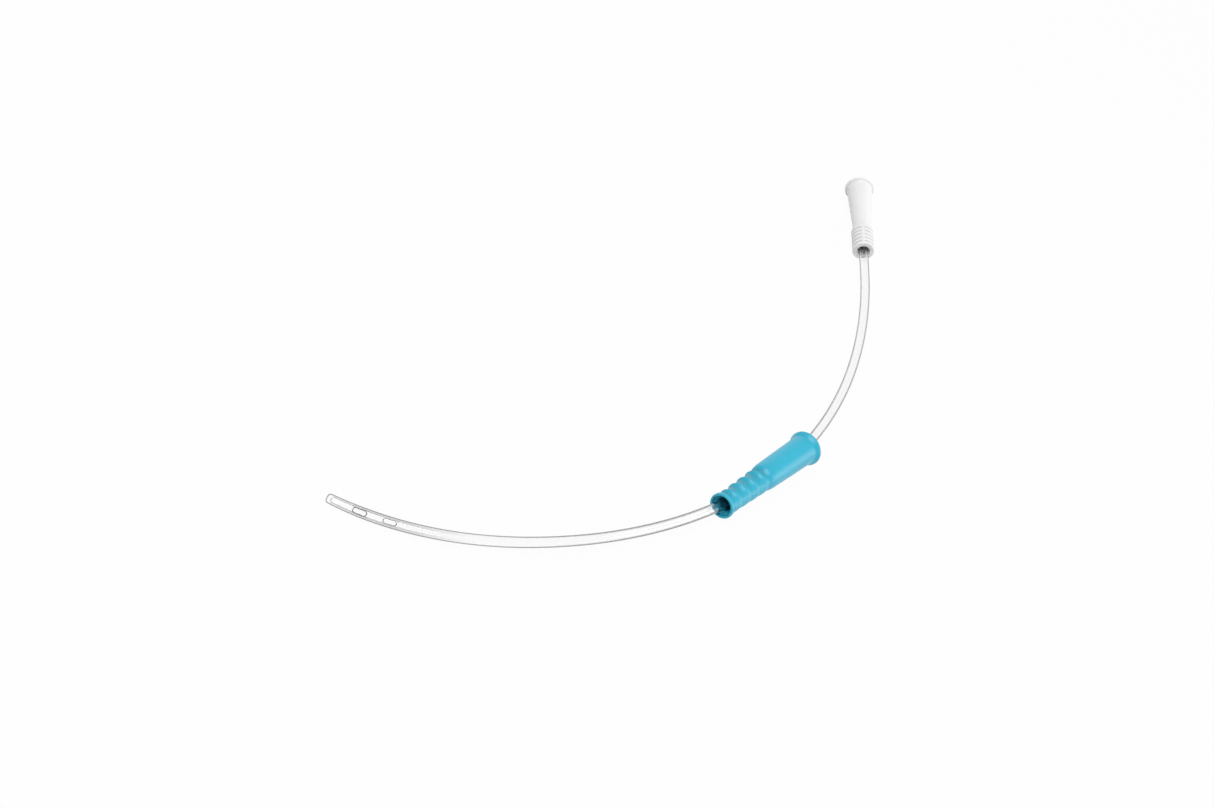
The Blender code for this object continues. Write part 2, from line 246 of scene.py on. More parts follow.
class CatheterFunnelSettings(bpy.types.PropertyGroup):
    run: length("Length", "Length of the drainage funnel", 0.0432)
    grooves: number("Grooves", "Number of grooves around the collar", 5)
    groove_pitch: length("Groove Pitch", "Distance from groove to groove", 0.0023)
    groove_depth: length("Groove Depth", "Depth of the grooves", 0.00042)
    tint: colour("Colour", "Colour of the moulded plastic", (0.825, 0.825, 0.822))


class CatheterStageSettings(bpy.types.PropertyGroup):
    key_power: power("Key Lamp", "Power of the low lamp at the side in watts", 2.8)
    fill_power: power("Fill Lamp", "Power of the broad lamp above in watts", 13.0)
    sky: FloatProperty(
        name="Surroundings", description="Brightness of the room's darker part", default=0.45, min=0.0,
        max=2.0)
    floor_tint: colour("Floor", "Colour of the floor", (0.62, 0.62, 0.62))


# Route of the tube

def rest_on(first, second):
    """Tilt and starting height of a turned piece on two of its circles, each (station, radius)."""
    tilt = math.atan2(second[1] - first[1], second[0] - first[0])
    height = first[1] * math.cos(tilt) - first[0] * math.sin(tilt)
    return tilt, height


class Route:
    """Centre line of the tube, from the funnel's face to the tip."""

    def __init__(self, tube, funnel):
        self.run = tube.run
        self.radius = tube.diameter / 2
        self.funnel_tilt, self.funnel_height = rest_on(
            (EDGE_ROUND, COLLAR_RADIUS), (funnel.run - EDGE_ROUND, FUNNEL_RIM_RADIUS))
        count = round(self.run / ROUTE_STEP)
        self.station = np.linspace(0, self.run, count + 1)
        bends = (0, FUNNEL_END_RUN, self.run - TIP_RUN, self.run)
        curvature = np.interp(
            self.station, bends, (1 / FUNNEL_END_BEND, 1 / MIDDLE_BEND, 1 / MIDDLE_BEND, 1 / TIP_BEND))
        stride = self.run / count
        turn = np.concatenate(([0], np.cumsum(curvature[1:] + curvature[:-1]) * stride / 2))
        heading = -math.pi / 2 - turn
        along = np.stack((np.cos(heading), np.sin(heading)), axis=1)
        plan = np.concatenate(([[0, 0]], np.cumsum(along[1:] + along[:-1], axis=0) * stride / 2))
        reach = funnel.run * math.cos(self.funnel_tilt)
        low = np.minimum(plan.min(axis=0) - self.radius, (-FUNNEL_RIM_RADIUS, reach))
        high = np.maximum(plan.max(axis=0) + self.radius, (FUNNEL_RIM_RADIUS, reach))
        plan = plan - (low + high) / 2
        self.centres = np.column_stack((plan, self.height(self.station)))

    def height(self, station):
        share = np.clip(station / LEVELLING_RUN, 0, 1)
        level = share ** 2 * (3 - 2 * share)
        leaving = -math.tan(self.funnel_tilt) * LEVELLING_RUN * share * (1 - share) ** 2
        drop = np.clip((self.run - station - TIP_REST) / DROP_RUN, 0, 1)
        carried = self.radius + (CARRIED_HEIGHT - self.radius) * drop ** 2 * (3 - 2 * drop)
        return self.funnel_height * (1 - level) + leaving + carried * level

    def funnel_axis(self):
        return Vector((0, math.cos(self.funnel_tilt), math.sin(self.funnel_tilt)))

    def place(self, distance):
        """Centre of the tube at a distance from the funnel's face, which is negative inside the funnel."""
        here = Vector([np.interp(distance, self.station, self.centres[:, axis]) for axis in range(3)])
        return here + self.funnel_axis() * max(-distance, 0)

    def points(self, step):
        """Points from the tube's open end to its tip."""
        count = round((self.run + SOCKET_DEPTH) / step)
        return [self.place(distance) for distance in np.linspace(-SOCKET_DEPTH, self.run, count + 1)]


def current_route():
    scene = bpy.context.scene
    return Route(scene.catheter_tube, scene.catheter_funnel)


def along_axis(direction, origin):
    """Placement of a turned piece: its own Z runs along direction, and its own X stays level."""
    level = UP.cross(direction).normalized()
    turned = Matrix((level, direction.cross(level), direction)).transposed()
    return Matrix.Translation(origin) @ turned.to_4x4()


# Mesh helpers

def add_piece(name, points, faces):
    mesh = bpy.data.meshes.new(name)
    mesh.from_pydata([tuple(point) for point in points], [], faces)
    piece = bpy.data.objects.new(name, mesh)
    bpy.context.scene.collection.objects.link(piece)
    return piece


def set_values(mesh, name, values):
    """Stores one number for each point of a mesh."""
    attribute = mesh.attributes.new(name, "FLOAT", "POINT")
    attribute.data.foreach_set("value", np.asarray(values, np.float32))


def eased(start, end, count):
    """Points on a half cosine from start to end, without start itself."""
    share = np.arange(1, count + 1) / count
    rise = (1 - np.cos(np.pi * share)) / 2
    stations = start[0] + (end[0] - start[0]) * share
    radii = start[1] + (end[1] - start[1]) * rise
    return list(zip(stations, radii))


def straight(start, end, count):
    """Points on a line from start to end, without start itself."""
    share = np.arange(1, count + 1) / count
    return [(start[0] + (end[0] - start[0]) * s, start[1] + (end[1] - start[1]) * s) for s in share]


def follow(line, *legs):
    """Carries a line on along its legs, each (straight or eased, end, count of points)."""
    for leg, end, count in legs:
        line += leg(line[-1], end, count)


def rounded(centre, radius, first, last, count):
    """Points on an arc around a centre (station, radius), between two angles in degrees."""
    angles = np.radians(np.linspace(first, last, count))
    return [(centre[0] + radius * math.cos(a), centre[1] + radius * math.sin(a)) for a in angles]


def turned_piece(name, outside, inside, steps):
    """A closed outline, made of an outer and an inner line of (station, radius), turned about Z."""
    outline = outside + inside
    count = len(outline)
    angles = np.arange(steps) / steps * math.tau
    points = []
    for station, radius in outline:
        points += [(radius * math.cos(a), radius * math.sin(a), station) for a in angles]
    faces = []
    for row in range(count):
        here = row * steps
        after = (row + 1) % count * steps
        for side in range(steps):
            beside = (side + 1) % steps
            faces.append((here + side, here + beside, after + beside, after + side))
    piece = add_piece(name, points, faces)
    set_values(piece.data, "outside", np.repeat([1.0] * len(outside) + [0.0] * len(inside), steps))
    return piece


# Geometry node helpers

def new_tree(name, sockets):
    """A geometry tree with named inputs, each (name, socket type), and its input and output nodes."""
    tree = bpy.data.node_groups.new(name, "GeometryNodeTree")
    tree.interface.new_socket("Geometry", in_out="OUTPUT", socket_type="NodeSocketGeometry")
    for label, kind in (("Geometry", "NodeSocketGeometry"), *sockets):
        tree.interface.new_socket(label, in_out="INPUT", socket_type=kind)
    return tree, tree.nodes.new("NodeGroupInput"), tree.nodes.new("NodeGroupOutput")


def feed(tree, socket, value):
    if isinstance(value, bpy.types.NodeSocket):
        tree.links.new(value, socket)
    elif value is not None:
        socket.default_value = value


def calculate(tree, operation, *values):
    node = tree.nodes.new("ShaderNodeMath")
    node.operation = operation
    for socket, value in zip(node.inputs, values):
        feed(tree, socket, value)
    return node.outputs[0]


def parts(tree, vector):
    node = tree.nodes.new("ShaderNodeSeparateXYZ")
    tree.links.new(vector, node.inputs[0])
    return node.outputs


def calculate_vector(tree, operation, first, second=None, scale=None):
    node = tree.nodes.new("ShaderNodeVectorMath")
    node.operation = operation
    feed(tree, node.inputs[0], first)
    if second is not None:
        feed(tree, node.inputs[1], second)
    if scale is not None:
        feed(tree, node.inputs["Scale"], scale)
    return node.outputs["Value" if operation == "LENGTH" else "Vector"]


def stored(tree, name):
    """Number that a piece's points hold under a name, or zero."""
    node = tree.nodes.new("GeometryNodeInputNamedAttribute")
    node.data_type = "FLOAT"
    node.inputs["Name"].default_value = name
    return node.outputs[0]


def store(tree, geometry, name, kind, value):
    node = tree.nodes.new("GeometryNodeStoreNamedAttribute")
    node.data_type = kind
    node.domain = "POINT"
    node.inputs["Name"].default_value = name
    tree.links.new(geometry, node.inputs["Geometry"])
    tree.links.new(value, node.inputs["Value"])
    return node.outputs[0]


def place_points(tree, geometry, socket, value):
    """Sets the points' Position or their Offset."""
    node = tree.nodes.new("GeometryNodeSetPosition")
    tree.links.new(geometry, node.inputs["Geometry"])
    tree.links.new(value, node.inputs[socket])
    return node.outputs[0]


def finish_tree(tree, geometry, material, output):
    """Ends a tree in Realize Instances and Set Material."""
    realize = tree.nodes.new("GeometryNodeRealizeInstances")
    paint = tree.nodes.new("GeometryNodeSetMaterial")
    tree.links.new(geometry, realize.inputs[0])
    tree.links.new(realize.outputs[0], paint.inputs["Geometry"])
    tree.links.new(material, paint.inputs["Material"])
    tree.links.new(paint.outputs[0], output.inputs[0])


def run_tree(piece, tree, values):
    """Runs a tree on a piece with its named inputs and keeps the result as the piece's plain mesh."""
    modifier = piece.modifiers.new(tree.name, "NODES")
    modifier.node_group = tree
    identifiers = {item.name: item.identifier for item in tree.interface.items_tree if item.in_out == "INPUT"}
    for label, value in values.items():
        modifier[identifiers[label]] = value
    evaluated = piece.evaluated_get(bpy.context.evaluated_depsgraph_get())
    mesh = bpy.data.meshes.new_from_object(evaluated)
    piece.modifiers.clear()
    piece.data = mesh
    mesh.name = piece.name
    mesh.shade_smooth()


def smooth_step(tree, value, low, high):
    node = tree.nodes.new("ShaderNodeMapRange")
    node.interpolation_type = "SMOOTHSTEP"
    feed(tree, node.inputs["Value"], value)
    feed(tree, node.inputs["From Min"], low)
    feed(tree, node.inputs["From Max"], high)
    return node.outputs["Result"]


def rib_tree(name, profile):
    """Carves evenly spaced ribs or grooves into the outside of a turned piece.

    The profile gives the depth's share along one pitch, as points of a curve. Its first value leads in
    before the first rib and leads out after the last.
    """
    lengths = ("First", "Pitch", "Lead In", "Lead Out", "Deep", "Shallow", "Land Width")
    turns = ("Deep Side", "Side Sharpness", "Land Turn")
    tree, given, output = new_tree(name, (
        *((label, "NodeSocketFloat") for label in (*lengths, *turns)),
        ("Count", "NodeSocketInt"), ("Material", "NodeSocketMaterial")))
    at = given.outputs
    compute = partial(calculate, tree)
    position = tree.nodes.new("GeometryNodeInputPosition").outputs[0]
    own = parts(tree, position)
    angle = compute("ARCTAN2", own["Y"], own["X"])
    flat = calculate_vector(tree, "MULTIPLY", position, (1, 1, 0))
    radius = calculate_vector(tree, "LENGTH", flat)
    beyond_first = compute("SUBTRACT", own["Z"], at["First"])
    whole = compute("MULTIPLY", at["Pitch"], at["Count"])
    beyond_last = compute("SUBTRACT", beyond_first, whole)
    along = compute("DIVIDE", beyond_first, at["Pitch"])
    along = compute("MINIMUM", compute("MAXIMUM", along, 0.0), at["Count"])
    curve = tree.nodes.new("ShaderNodeFloatCurve")
    shape = curve.mapping.curves[0]
    shape.points[0].location = profile[0]
    shape.points[1].location = profile[-1]
    for point in profile[1:-1]:
        shape.points.new(*point)
    curve.mapping.update()
    feed(tree, curve.inputs["Value"], compute("FRACT", along))
    lead_start = compute("MULTIPLY_ADD", at["Lead In"], -1.0, -TINY)
    lead_end = compute("ADD", at["Lead Out"], TINY)
    lead_in = smooth_step(tree, beyond_first, lead_start, 0.0)
    lead_out = smooth_step(tree, compute("SUBTRACT", lead_end, beyond_last), 0.0, lead_end)
    toward = compute("COSINE", compute("SUBTRACT", angle, at["Deep Side"]))
    side = compute("MULTIPLY_ADD", toward, 0.5, 0.5)
    side = compute("POWER", side, at["Side Sharpness"])
    extra = compute("SUBTRACT", at["Deep"], at["Shallow"])
    depth = compute("MULTIPLY_ADD", extra, side, at["Shallow"])
    across = compute("SINE", compute("SUBTRACT", angle, at["Land Turn"]))
    off_land = compute("MULTIPLY", compute("ABSOLUTE", across), radius)
    land_flat = compute("MULTIPLY_ADD", at["Land Width"], LAND_FLAT_SHARE, -2 * TINY)
    land_edge = compute("MULTIPLY_ADD", at["Land Width"], LAND_EDGE_SHARE, -TINY)
    share = compute("MULTIPLY", curve.outputs[0], stored(tree, "outside"))
    share = compute("MULTIPLY", share, compute("MULTIPLY", lead_in, lead_out))
    share = compute("MULTIPLY", share, smooth_step(tree, off_land, land_flat, land_edge))
    carved = compute("MULTIPLY", share, depth)
    outward = calculate_vector(tree, "NORMALIZE", flat)
    inward = calculate_vector(tree, "SCALE", outward, scale=compute("MULTIPLY", carved, -1.0))
    # The carved depth is kept as crease, where the finishes paint shade
    crease = compute("ADD", stored(tree, "crease"), carved)
    geometry = store(tree, at["Geometry"], "crease", "FLOAT", crease)
    finish_tree(tree, place_points(tree, geometry, "Offset", inward), at["Material"], output)
    return tree


def route_tree():
    """Lays a straight piece, made along X, on a route curve. Y becomes its side and Z its upper side."""
    tree, given, output = new_tree("Lay on Route", (
        ("Route", "NodeSocketObject"), ("Lead In", "NodeSocketFloat"), ("Material", "NodeSocketMaterial")))
    position = tree.nodes.new("GeometryNodeInputPosition").outputs[0]
    own = parts(tree, position)
    geometry = store(tree, given.outputs["Geometry"], "straight", "FLOAT_VECTOR", position)
    route = tree.nodes.new("GeometryNodeObjectInfo")
    tree.links.new(given.outputs["Route"], route.inputs["Object"])
    sample = tree.nodes.new("GeometryNodeSampleCurve")
    sample.mode = "LENGTH"
    sample.use_all_curves = True
    tree.links.new(route.outputs["Geometry"], sample.inputs["Curves"])
    feed(tree, sample.inputs["Length"], calculate(tree, "ADD", own["X"], given.outputs["Lead In"]))
    tangent = sample.outputs["Tangent"]
    side = calculate_vector(tree, "NORMALIZE", calculate_vector(tree, "CROSS_PRODUCT", (0, 0, 1), tangent))
    above = calculate_vector(tree, "CROSS_PRODUCT", tangent, side)
    to_side = calculate_vector(tree, "SCALE", side, scale=own["Y"])
    to_above = calculate_vector(tree, "SCALE", above, scale=own["Z"])
    offset = calculate_vector(tree, "ADD", to_side, to_above)
    place = calculate_vector(tree, "ADD", sample.outputs["Position"], offset)
    finish_tree(tree, place_points(tree, geometry, "Position", place), given.outputs["Material"], output)
    return tree


# Materials

def new_material(name):
    material = bpy.data.materials.new(name)
    material.use_nodes = True
    return material, material.node_tree, material.node_tree.nodes["Principled BSDF"]


def noise(tree, vector, scale, detail=2.0, roughness=0.5):
    node = tree.nodes.new("ShaderNodeTexNoise")
    node.inputs["Scale"].default_value = scale
    node.inputs["Detail"].default_value = detail
    node.inputs["Roughness"].default_value = roughness
    tree.links.new(vector, node.inputs["Vector"])
    return node.outputs["Fac"]


def object_coordinates(tree):
    return tree.nodes.new("ShaderNodeTexCoord").outputs["Object"]


def attribute(tree, name):
    node = tree.nodes.new("ShaderNodeAttribute")
    node.attribute_name = name
    return node


def mix_colours(tree, share, first, second):
    node = tree.nodes.new("ShaderNodeMix")
    node.data_type = "RGBA"
    feed(tree, node.inputs["Factor"], share)
    feed(tree, node.inputs["A"], first if isinstance(first, bpy.types.NodeSocket) else (*first, 1))
    feed(tree, node.inputs["B"], second if isinstance(second, bpy.types.NodeSocket) else (*second, 1))
    return node.outputs["Result"]


def between(tree, value, low, high, first=0.0, last=1.0):
    node = tree.nodes.new("ShaderNodeMapRange")
    feed(tree, node.inputs["Value"], value)
    node.inputs["From Min"].default_value = low
    node.inputs["From Max"].default_value = high
    node.inputs["To Min"].default_value = first
    node.inputs["To Max"].default_value = last
    return node.outputs["Result"]


def bump(tree, height, distance, strength, before=None):
    node = tree.nodes.new("ShaderNodeBump")
    node.inputs["Strength"].default_value = strength
    node.inputs["Distance"].default_value = distance
    tree.links.new(height, node.inputs["Height"])
    if before is not None:
        tree.links.new(before, node.inputs["Normal"])
    return node.outputs["Normal"]


def scaled(tint, factor):
    return [min(1.0, part * factor) for part in tint]


def moulded(name, tint, flow_scale, flow_tones, grain_scale, grain_share, grain_tone, crease_shade_depths,
            crease_shade_share, crease_shade_tone, roughness, ior, grain_strength, flow_strength=None):
    """Moulded finish with slow changes of tone, a fine grain and painted shade in its creases."""
    material, tree, shader = new_material(name)
    place = object_coordinates(tree)
    flow = noise(tree, place, flow_scale, detail=3)
    grain = noise(tree, place, grain_scale, detail=2)
    low, high = (scaled(tint, tone) for tone in flow_tones)
    base = mix_colours(tree, between(tree, flow, *FLOW_RAMP), low, high)
    grainy = between(tree, grain, *GRAIN_RAMP, 0.0, grain_share)
    base = mix_colours(tree, grainy, base, scaled(tint, grain_tone))
    # Painted shade: the colour darkens where the carving is deep
    crease_shade = between(tree, attribute(tree, "crease").outputs["Fac"], *crease_shade_depths, 0.0, crease_shade_share)
    base = mix_colours(tree, crease_shade, base, scaled(tint, crease_shade_tone))
    tree.links.new(base, shader.inputs["Base Color"])
    tree.links.new(between(tree, flow, *FLOW_GLOSS_RAMP, *roughness), shader.inputs["Roughness"])
    shader.inputs["IOR"].default_value = ior
    normal = bump(tree, grain, GRAIN_HEIGHT, grain_strength)
    if flow_strength is not None:
        normal = bump(tree, flow, FLOW_HEIGHT, flow_strength, normal)
    tree.links.new(normal, shader.inputs["Normal"])
    return material


def elastomer(tint):
    """Satin elastomer with a fine moulded grain and flow marks, and painted shade in its creases."""
    return moulded(
        "blue_elastomer_finish", tint, flow_scale=90, flow_tones=(0.965, 1.035),
        grain_scale=2600, grain_share=0.10, grain_tone=0.75,
        crease_shade_depths=(0.0003, 0.0011), crease_shade_share=0.5, crease_shade_tone=0.5,
        roughness=(0.33, 0.40), ior=1.48, grain_strength=0.22, flow_strength=0.10)


def moulded_plastic(tint):
    """White moulded plastic with a faint grain, slight changes of tone and painted shade in its grooves."""
    return moulded(
        "white_plastic_finish", tint, flow_scale=120, flow_tones=(0.985, 1.01),
        grain_scale=2200, grain_share=0.08, grain_tone=0.88,
        crease_shade_depths=(0.00005, 0.0004), crease_shade_share=0.9, crease_shade_tone=0.74,
        roughness=(0.27, 0.36), ior=1.49, grain_strength=0.15)


def clear_plastic(tint, run):
    """Clear soft plastic with painted grey shade along its edges, and faint lines along it from the extruder.

    The painted grey shade on the edges grows broader past the grip and again towards the tip, as the
    photograph shows them. Painted shade marks the lumen's own edges mainly near the tip, and painted dark
    shade marks the cut edges of the eyes.
    """
    material, tree, shader = new_material("clear_tube_finish")
    compute = partial(calculate, tree)
    straight_place = attribute(tree, "straight").outputs["Vector"]
    laid = calculate_vector(tree, "MULTIPLY", straight_place, EXTRUDER_LINES)
    lines = noise(tree, laid, 1.0, detail=3, roughness=0.6)
    own = parts(tree, straight_place)
    near_tip_shade = smooth_step(tree, own["X"], run - TIP_REACH[0], run - TIP_REACH[1])
    past_grip_shade = smooth_step(tree, own["X"], *EDGE_SHADE_BROADENING)
    edge = tree.nodes.new("ShaderNodeLayerWeight")
    edge.inputs["Blend"].default_value = 0.5
    facing = edge.outputs["Facing"]
    outside = attribute(tree, "outside").outputs["Fac"]
    # Painted grey shade on the outer wall's edges, starting at a lower facing past the grip and near the tip
    start = compute("MULTIPLY_ADD", past_grip_shade, BROADER_EDGE, EDGE_START)
    start = compute("MULTIPLY_ADD", near_tip_shade, BROADER_TIP_EDGE, start)
    wall = smooth_step(tree, facing, start, compute("ADD", start, EDGE_WIDTH))
    wall = compute("MULTIPLY", wall, outside)
    # Painted grey shade on the lumen's edges, strong mainly near the tip
    lumen = compute(
        "MULTIPLY", between(tree, facing, *LUMEN_EDGE), compute("SUBTRACT", 1.0, outside))
    lumen_shade_share = compute("MULTIPLY_ADD", near_tip_shade, TIP_LUMEN_SHADE_SHARE, LUMEN_SHADE_SHARE)
    lumen = compute("MULTIPLY", lumen, lumen_shade_share)
    base = mix_colours(tree, compute("MAXIMUM", wall, lumen), (1.0, 1.0, 1.0), tint)
    # Painted dark shade on the eyes' cut edges; the added roughness there is real
    cut = attribute(tree, "cut").outputs["Fac"]
    tree.links.new(mix_colours(tree, cut, base, scaled(tint, CUT_SHADE_TONE)), shader.inputs["Base Color"])
    cut_rough = compute("MULTIPLY", cut, CUT_ROUGHNESS)
    rough = compute("ADD", between(tree, lines, *FLOW_RAMP, 0.0, 0.03), cut_rough)
    tree.links.new(rough, shader.inputs["Roughness"])
    shader.inputs["Transmission Weight"].default_value = 1.0
    shader.inputs["IOR"].default_value = 1.44
    tree.links.new(bump(tree, lines, 0.00001, 0.1), shader.inputs["Normal"])
    return material


def floor_finish(tint):
    """White floor that keeps a faint shadow."""
    material, tree, shader = new_material("floor_finish")
    grain = noise(tree, object_coordinates(tree), 300, detail=2)
    base = mix_colours(tree, between(tree, grain, *FLOW_RAMP), scaled(tint, 0.99), tint)
    tree.links.new(base, shader.inputs["Base Color"])
    shader.inputs["Roughness"].default_value = 0.9
    shader.inputs["Specular IOR Level"].default_value = 0.0
    path = tree.nodes.new("ShaderNodeLightPath")
    seen = calculate(tree, "MAXIMUM", path.outputs["Is Camera Ray"], calculate(
        tree, "MAXIMUM", path.outputs["Is Glossy Ray"], path.outputs["Is Transmission Ray"]))
    glow = tree.nodes.new("ShaderNodeEmission")
    glow.inputs["Strength"].default_value = 1.0
    mix = tree.nodes.new("ShaderNodeMixShader")
    tree.links.new(calculate(tree, "MULTIPLY", seen, FLOOR_GLOW), mix.inputs["Fac"])
    tree.links.new(shader.outputs[0], mix.inputs[1])
    tree.links.new(glow.outputs[0], mix.inputs[2])
    tree.links.new(mix.outputs[0], tree.nodes["Material Output"].inputs["Surface"])
    return material


# Tube

def tip_radius(distance, radius):
    """Radius of the tube or of its lumen at a distance from that surface's own end."""
    taper = np.clip((TIP_TAPER_LENGTH - distance) / TIP_TAPER_LENGTH, 0, 1)
    body = radius - TIP_TAPER * taper
    back = np.clip((TIP_ROUND_LENGTH - distance) / TIP_ROUND_LENGTH, 0, 1)
    return body * (1 - back ** TIP_BLUNTNESS) ** (1 / TIP_BLUNTNESS)


def slot_point(direction, half_length, half_width):
    """Where a ray from a slot's middle leaves the slot, which has round ends."""
    reach = half_length - half_width
    low, high = 0.0, 2.0
    for _ in range(EYE_SLOT_HALVINGS):
        middle = (low + high) / 2
        x, w = direction[0] * middle, direction[1] * middle
        if math.hypot(max(abs(x) - reach, 0), w) < half_width:
            low = middle
        else:
            high = middle
    return direction[0] * low, direction[1] * low


class TubeWall:
    """Wall of the tube, straight along X, as a closed surface with its two eyes."""

    def __init__(self, settings):
        self.settings = settings
        self.outer_radius = settings.diameter / 2
        self.inner_radius = self.outer_radius - settings.wall
        self.outer_end = settings.run
        self.inner_end = settings.run - TIP_WALL
        self.points = []
        self.faces = []
        self.cut = []

    def radius(self, station, inner):
        if inner:
            return float(tip_radius(self.inner_end - station, self.inner_radius))
        return float(tip_radius(self.outer_end - station, self.outer_radius))

    def put(self, station, radius, angle):
        self.points.append((station, radius * math.sin(angle), radius * math.cos(angle)))
        return len(self.points) - 1

    def stations(self, inner):
        fine_start = self.outer_end - TIP_SPACING * TIP_FINE_CELLS
        count = round((fine_start + SOCKET_DEPTH) / BODY_SPACING)
        body = np.linspace(-SOCKET_DEPTH, fine_start, count + 1)[:-1]
        end = self.inner_end if inner else self.outer_end
        fine = fine_start + TIP_SPACING * np.arange(TIP_FINE_CELLS + 1)
        fine = fine[fine < end - TIP_ROUND_LENGTH - TIP_SPACING / 2]
        around = np.radians(np.linspace(*TIP_RING_ANGLES))
        tip = end - TIP_ROUND_LENGTH * (1 - np.sin(around))
        return np.concatenate((body, fine, [end - TIP_ROUND_LENGTH], tip)), end

    def skin(self, inner):
        """Rings and faces of one surface, without the faces around the eyes."""
        stations, end = self.stations(inner)
        turns = [EYE_TURN + side * math.tau / TUBE_SIDES for side in range(TUBE_SIDES)]
        rows = []
        for station in stations:
            radius = self.radius(station, inner)
            rows.append([self.put(station, radius, turn) for turn in turns])
        windows = [self.window(stations, eye) for eye in (FIRST_EYE, SECOND_EYE)]
        for row in range(len(rows) - 1):
            for side in range(TUBE_SIDES):
                if self.inside_window(row, side, windows):
                    continue
                beside = (side + 1) % TUBE_SIDES
                corners = (rows[row][side], rows[row + 1][side], rows[row + 1][beside], rows[row][beside])
                self.add_face(corners, inner)
        pole = self.put(end, 0, 0)
        for side in range(TUBE_SIDES):
            self.add_face((rows[-1][side], pole, rows[-1][(side + 1) % TUBE_SIDES]), inner)
        return rows, windows

    def add_face(self, corners, inner):
        self.faces.append(tuple(reversed(corners)) if inner else tuple(corners))

    def window(self, stations, from_tip):
        """First and last ring of the patch around an eye, then its middle's side and station."""
        middle = int(np.argmin(np.abs(stations - (self.outer_end - from_tip))))
        side = 0 if from_tip == FIRST_EYE else TUBE_SIDES // 2
        return middle - EYE_HALF_CELLS, middle + EYE_HALF_CELLS, side, stations[middle]

    def inside_window(self, row, side, windows):
        for first, last, middle, _ in windows:
            offset = (side - middle + TUBE_SIDES // 2) % TUBE_SIDES - TUBE_SIDES // 2
            if first <= row < last and -EYE_HALF_SIDES <= offset < EYE_HALF_SIDES:
                return True
        return False

    def border(self, rows, window):
        """Corner-to-corner loop of points around a patch."""
        first, last, middle, _ = window
        low, high = -EYE_HALF_SIDES, EYE_HALF_SIDES
        loop = [(row, low) for row in range(first, last)]
        loop += [(last, side) for side in range(low, high)]
        loop += [(row, high) for row in range(last, first, -1)]
        loop += [(first, side) for side in range(high, low, -1)]
        return [(rows[row][(middle + side) % TUBE_SIDES], row, side) for row, side in loop]

    def eye(self, outer, inner, outer_window, inner_window):
        """Patch around an eye: over the outer surface, through the wall round its edges, and inside."""
        middle_angle = EYE_TURN + outer_window[2] * math.tau / TUBE_SIDES
        centre = outer_window[3]
        side_angle = math.tau / TUBE_SIDES
        outer_loop = self.border(outer, outer_window)
        inner_loop = self.border(inner, inner_window)
        half_length = self.settings.eye_length / 2
        half_width = self.settings.eye_width / 2
        long_reach = EYE_HALF_CELLS * TIP_SPACING
        directions = []
        edges = []
        for _, row, side in outer_loop:
            x = (row - outer_window[0] - EYE_HALF_CELLS) * TIP_SPACING
            edges.append((x, side * side_angle))
            directions.append((x / long_reach * half_length, side / EYE_HALF_SIDES * half_width))
        profile = []
        for turn in np.radians(EYE_EDGE_TURNS):
            profile.append((EYE_EDGE * (1 - math.sin(turn)), EYE_EDGE * (1 - math.cos(turn)), False))
        profile += [(widening, depth, True) for widening, depth, _ in reversed(profile)]
        loops = [[item[0] for item in outer_loop]]
        rim = self.slot_loop(directions, half_length + EYE_EDGE, half_width + EYE_EDGE)
        for share in EYE_PATCH_SHARES:
            loops.append(self.patch_loop(edges, rim, share, centre, middle_angle, False))
        for widening, depth, inside in profile:
            slot = self.slot_loop(directions, half_length + widening, half_width + widening)
            loop = []
            for x, w in slot:
                radius = self.radius(centre + x, inside) + (depth if inside else -depth)
                loop.append(self.put(centre + x, radius, middle_angle + math.asin(w / radius)))
            loops.append(loop)
            self.cut += loop
        for share in reversed(EYE_PATCH_SHARES):
            loops.append(self.patch_loop(edges, rim, share, centre, middle_angle, True))
        loops.append([item[0] for item in inner_loop])
        for loop, following in zip(loops[:-1], loops[1:]):
            for index in range(len(loop)):
                after = (index + 1) % len(loop)
                self.faces.append((loop[index], loop[after], following[after], following[index]))

    def slot_loop(self, directions, half_length, half_width):
        return [slot_point(direction, half_length, half_width) for direction in directions]

    def patch_loop(self, edges, rim, share, centre, middle_angle, inner):
        loop = []
        for (edge_x, edge_angle), (rim_x, rim_w) in zip(edges, rim):
            radius = self.radius(centre + rim_x, inner)
            rim_angle = math.asin(rim_w / radius)
            x = edge_x + (rim_x - edge_x) * share
            angle = edge_angle + (rim_angle - edge_angle) * share
            loop.append(self.put(centre + x, self.radius(centre + x, inner), middle_angle + angle))
        return loop

    def build(self):
        outer, outer_windows = self.skin(False)
        outer_count = len(self.points)
        inner, inner_windows = self.skin(True)
        for outer_window, inner_window in zip(outer_windows, inner_windows):
            self.eye(outer, inner, outer_window, inner_window)
        for side in range(TUBE_SIDES):
            beside = (side + 1) % TUBE_SIDES
            self.faces.append((outer[0][side], outer[0][beside], inner[0][beside], inner[0][side]))
        tube = add_piece("clear_tube", self.points, self.faces)
        outside = np.zeros(len(self.points))
        outside[:outer_count] = 1
        set_values(tube.data, "outside", outside)
        cut = np.zeros(len(self.points))
        cut[self.cut] = 1
        set_values(tube.data, "cut", cut)
        return tube


